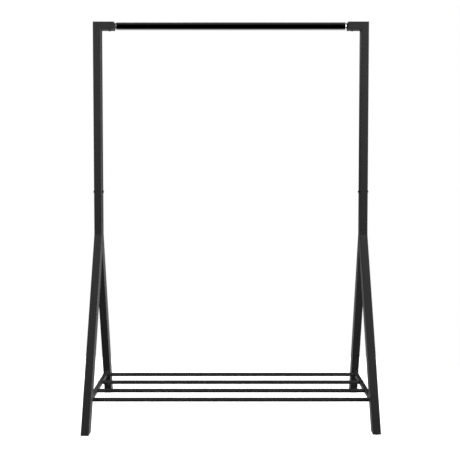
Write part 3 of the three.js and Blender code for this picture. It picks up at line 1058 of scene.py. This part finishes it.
def hanging_rod():
    """The chromed tube, drawn down to a neck at each end over a conical shoulder."""
    low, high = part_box("hanging_rod")
    centre = middle_of("hanging_rod")
    radius = (high.z - low.z) / 2
    stub_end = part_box("right_rod_stub")[0].x
    neck_end = stub_end - NECK_SHOWN
    turn = math.atan2(radius - NECK_RADIUS, SHOULDER)
    ease = SHOULDER_ROUNDING * math.tan(turn / 2)
    bend = (radius - SHOULDER_ROUNDING, neck_end - SHOULDER - ease)
    half = [(NECK_RADIUS - EASED, high.x), (NECK_RADIUS, high.x - EASED), (NECK_RADIUS, neck_end)]
    half += arc(bend, SHOULDER_ROUNDING, math.degrees(turn), 0, 4)
    bore = [(across - ROD_WALL, place) for across, place in half[1:]]
    bore[0] = (bore[0][0], high.x)
    outside = half + [(across, -place) for across, place in reversed(half)]
    inside = [(across, -place) for across, place in bore] + list(reversed(bore))
    axes = axes_at(Vector((0, 0, centre.z)), X_AXIS)
    holes = []
    for side in ("left", "right"):
        bottom = centre.z - NECK_RADIUS
        holes.append(rod_screw_hole(side, bottom, NECK_RADIUS, SLEEVE_HOLE))
    bm = shell(profile_rings(axes, outside + inside, ROUND_STEPS), closed=True)
    piece("hanging_rod_tube", bm, "black_chrome", "hanging_rod", holes=holes)


def rod_bushing(name):
    """The moulded block that centres the round neck in the square stub."""
    node = name + "_rod_bushing"
    low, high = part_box(node)
    side = high.z - low.z
    length = high.x - low.x
    axes = axes_at(Vector((low.x, 0, (low.z + high.z) / 2)), X_AXIS)
    corner = TUBE_CORNER - TUBE_WALL
    outer = filled(outline(side, corner))
    eased = filled(outline(side - 2 * EASED, corner - EASED))

    def bore(radius):
        return [point.normalized() * radius for point in outer]

    near = NECK_RADIUS + PLAY
    sections = [(bore(near + EASED), 0.0), (eased, 0.0), (outer, EASED)]
    sections += [(outer, length - EASED), (eased, length), (bore(near + EASED), length)]
    sections += [(bore(near), length - EASED), (bore(near), EASED)]
    hole = rod_screw_hole(name, low.z, side / 2, SLEEVE_HOLE)
    bm = shell(stacked(axes, sections), closed=True)
    piece(node + "_moulding", bm, "black_plastic", node, holes=[hole], flats=True)


def rod_screw(name):
    node = name + "_rod_screw"
    low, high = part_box(node)
    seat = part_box(name + "_rod_stub")[0].z - PLAY
    radius = (high.x - low.x) / 2
    axes = axes_at(Vector((middle_of(node).x, 0, seat)), -Z_AXIS)
    rings = screw(axes, radius, seat - low.z, high.z - seat)
    piece(node + "_body", shell(rings), "blackened_steel", node)


def rod_insert(name):
    """A rivet nut: a sleeve whose collar has spread inside the neck."""
    node = name + "_rod_insert"
    low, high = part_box(node)
    radius = (high.x - low.x) / 2
    height = high.z - low.z
    axes = Matrix.Translation(Vector((middle_of(node).x, 0, low.z)))
    edge = SMALL_EDGE
    profile = [(SCREW_HOLE, edge), (SCREW_HOLE + edge, 0.0), (SLEEVE_RADIUS - edge, 0.0)]
    profile += [(SLEEVE_RADIUS, edge), (SLEEVE_RADIUS, RIVET_LOW)]
    middle = radius - RIVET_COLLAR / 2, RIVET_LOW + RIVET_COLLAR / 2
    profile += arc(middle, RIVET_COLLAR / 2, -80, 80, 6)
    profile += [(SLEEVE_RADIUS, RIVET_LOW + RIVET_COLLAR), (SLEEVE_RADIUS, height - edge)]
    profile += [(SLEEVE_RADIUS - edge, height), (SCREW_HOLE + edge, height)]
    profile += [(SCREW_HOLE, height - edge)]
    bm = shell(profile_rings(axes, profile, SMALL_STEPS), closed=True)
    piece(node + "_body", bm, "zinc_plate", node)


# --- Shelf ---

def shelf_bar(bar):
    node = bar + "_shelf_bar"
    low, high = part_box(node)
    radius = (high.z - low.z) / 2
    bore = radius - BAR_WALL
    axes = axes_at(Vector((0, (low.y + high.y) / 2, (low.z + high.z) / 2)), X_AXIS)
    half = [(bore, high.x), (radius - EASED, high.x), (radius, high.x - EASED)]
    half.append((radius, high.x - EASED - FLAT_MARGIN))
    profile = half + [(across, -place) for across, place in reversed(half)]
    bm = shell(profile_rings(axes, profile, ROUND_STEPS), closed=True)
    piece(node + "_tube", bm, "powder_coat", node)


def bar_insert(bar, end):
    """A knurled threaded sleeve pressed into a shelf bar's end."""
    node = f"{bar}_bar_{end}_insert"
    low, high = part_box(node)
    way = WAYS[end]
    mouth = high.x if way > 0 else low.x
    length = high.x - low.x
    radius = (high.z - low.z) / 2
    middle = middle_of(node)
    axes = axes_at(Vector((mouth, middle.y, middle.z)), -X_AXIS * way)
    edge = SMALL_EDGE
    teeth = [1.0 if index % 2 else 1 - edge / radius for index in range(SMALL_STEPS)]
    knurl = [point * tooth for point, tooth in zip(circle(radius, SMALL_STEPS), teeth)]
    plain = circle(radius - edge, SMALL_STEPS)
    mouth_ring = circle(SCREW_HOLE + edge, SMALL_STEPS)
    bore = circle(SCREW_HOLE, SMALL_STEPS)
    half = [(mouth_ring, 0.0), (plain, 0.0), (plain, 2 * MM), (knurl, 2.4 * MM)]
    half += [(knurl, length / 2 - MM), (plain, length / 2 - 0.6 * MM)]
    sections = half + [(points, length - place) for points, place in reversed(half)]
    sections += [(bore, length - edge), (bore, edge)]
    piece(node + "_body", shell(stacked(axes, sections), closed=True), "zinc_plate", node)


def bar_screw(bar, end):
    node = f"{bar}_bar_{end}_screw"
    low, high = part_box(node)
    way = WAYS[end]
    rail_low, rail_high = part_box(end + "_side_rail")
    seat = rail_high.x + PLAY if way > 0 else rail_low.x - PLAY
    tip = high.x if way > 0 else low.x
    head = abs(tip - seat)
    middle = middle_of(node)
    axes = axes_at(Vector((seat, middle.y, middle.z)), X_AXIS * way)
    rings = screw(axes, (high.z - low.z) / 2, head, high.x - low.x - head)
    piece(node + "_body", shell(rings), "blackened_steel", node)


# --- Studio ---

def camera():
    """A nearly level view from the front; the shift lifts it to the object's upper part."""
    data = bpy.data.cameras.new("camera")
    data.sensor_width = SENSOR
    data.lens = LENS
    data.shift_x, data.shift_y = CAMERA_SHIFT
    made = placed("camera", data)
    made.location = CAMERA_PLACE
    made.rotation_euler = (math.pi / 2 - CAMERA_TILT, 0, 0)
    bpy.context.scene.camera = made


def softbox(name, place, target, width, height, power):
    data = bpy.data.lights.new(name, "AREA")
    data.shape = "RECTANGLE"
    data.size = width
    data.size_y = height
    data.energy = power
    made = placed(name, data)
    made.location = place
    made.rotation_mode = "QUATERNION"
    made.rotation_quaternion = (target - place).to_track_quat("-Z", "Y")


def floor():
    """A pale floor round the object's feet, which shines white in view and lights nothing."""
    reach = CAD_HIGH.x - CAD_LOW.x
    depth = reach * FLOOR_DEPTH
    corners = [(-reach, -depth, 0), (reach, -depth, 0), (reach, depth, 0), (-reach, depth, 0)]
    mesh = bpy.data.meshes.new("floor")
    mesh.from_pydata(corners, [], [(0, 1, 2, 3)])
    made = placed("floor", mesh)
    material = bpy.data.materials.new("floor")
    material.use_nodes = True
    shader = material.node_tree.nodes["Principled BSDF"]
    looks = {"Base Color": (0.9, 0.9, 0.9, 1), "Roughness": 0.9, "Specular IOR Level": 0.0}
    looks |= {"Emission Color": WHITE, "Emission Strength": 1.0}
    for name, value in looks.items():
        shader.inputs[name].default_value = value
    mesh.materials.append(material)
    made.visible_diffuse = False
    made.visible_glossy = False


def room_strength(studio):
    """A dark room's light by direction: a window, a dim wall, a ceiling and a pale sweep.

    Each ramp begins and ends at a component of the unit direction.
    """
    way = studio.nodes.new("ShaderNodeTexCoord").outputs["Generated"]
    split = studio.nodes.new("ShaderNodeSeparateXYZ")
    studio.links.new(way, split.inputs["Vector"])
    across, ahead, up = (split.outputs[axis] for axis in "XYZ")

    def ramp(source, begin, end, strength=1.0):
        return studio.spread(source, begin, end, 0.0, strength, kind="SMOOTHSTEP")

    window = ramp(across, 0.6, 0.7, WINDOW)
    dim_wall = ramp(across, -0.6, -0.7, DIM_WALL)
    beside = ramp(studio.maths("ABSOLUTE", ahead), 0.5, 0.38)
    walls = studio.maths("MULTIPLY", studio.maths("ADD", window, dim_wall), beside)
    ceiling = ramp(up, 0.7, 0.85, CEILING)
    sweep = studio.maths("MULTIPLY", ramp(up, -0.1, -0.2, SWEEP), ramp(ahead, 0.1, 0.5))
    return studio.maths("ADD", studio.maths("ADD", walls, ceiling), sweep)


def surroundings():
    """A white backdrop in view, and the room for the reflections."""
    world = bpy.data.worlds.new("studio")
    world.use_nodes = True
    studio = Nodes(world.node_tree)
    studio.nodes.remove(studio.nodes["Background"])
    kind = "ShaderNodeBackground"
    strength = room_strength(studio)
    room = studio.add(kind, "Background", {"Color": WHITE, "Strength": strength})
    backdrop = studio.add(kind, "Background", {"Color": WHITE, "Strength": 1.0})
    seen = studio.nodes.new("ShaderNodeLightPath").outputs["Is Camera Ray"]
    shown = studio.add("ShaderNodeMixShader", "Shader", {"Fac": seen, 1: room, 2: backdrop})
    studio.links.new(shown, studio.nodes["World Output"].inputs["Surface"])
    bpy.context.scene.world = world
    bpy.context.scene.view_settings.view_transform = "Standard"


def lights():
    """Two tall softboxes, to the right and the left of the camera, and a dim one behind."""
    centre = (CAD_LOW + CAD_HIGH) / 2
    softbox("key", Vector((2.4, -2.6, 2.0)), centre, 1.6, 2.4, FRONT_POWER)
    softbox("fill", Vector((-2.4, -2.6, 2.0)), centre, 1.6, 2.4, FRONT_POWER)
    softbox("back", Vector((-1.5, 3.4, 2.8)), centre, 2.0, 1.6, BACK_POWER)


# --- The whole object ---

camera()
for frame_name in ("left", "right"):
    end = EndFrame(frame_name)
    upper_post(end)
    rod_stub(end)
    stem(end)
    spigot(end)
    side_rail(end)
    mitre_weld(end)
    kink_weld(end)
    joint_screws(end)
    rod_bushing(frame_name)
    rod_insert(frame_name)
    rod_screw(frame_name)
    for leg_place in ("front", "rear"):
        leg(end, leg_place)
        rail_weld(end, leg_place)
        if f"{leg_place}_{frame_name}_end_plug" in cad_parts:
            end_plug(end, leg_place)
        else:
            level_plug(end, leg_place)
            level_nut(f"{leg_place}_{frame_name}_level_nut")
level_stud()
level_pad()
hanging_rod()
for bar_name in BARS:
    shelf_bar(bar_name)
    for bar_end in ("left", "right"):
        bar_insert(bar_name, bar_end)
        bar_screw(bar_name, bar_end)
floor()
surroundings()
lights()
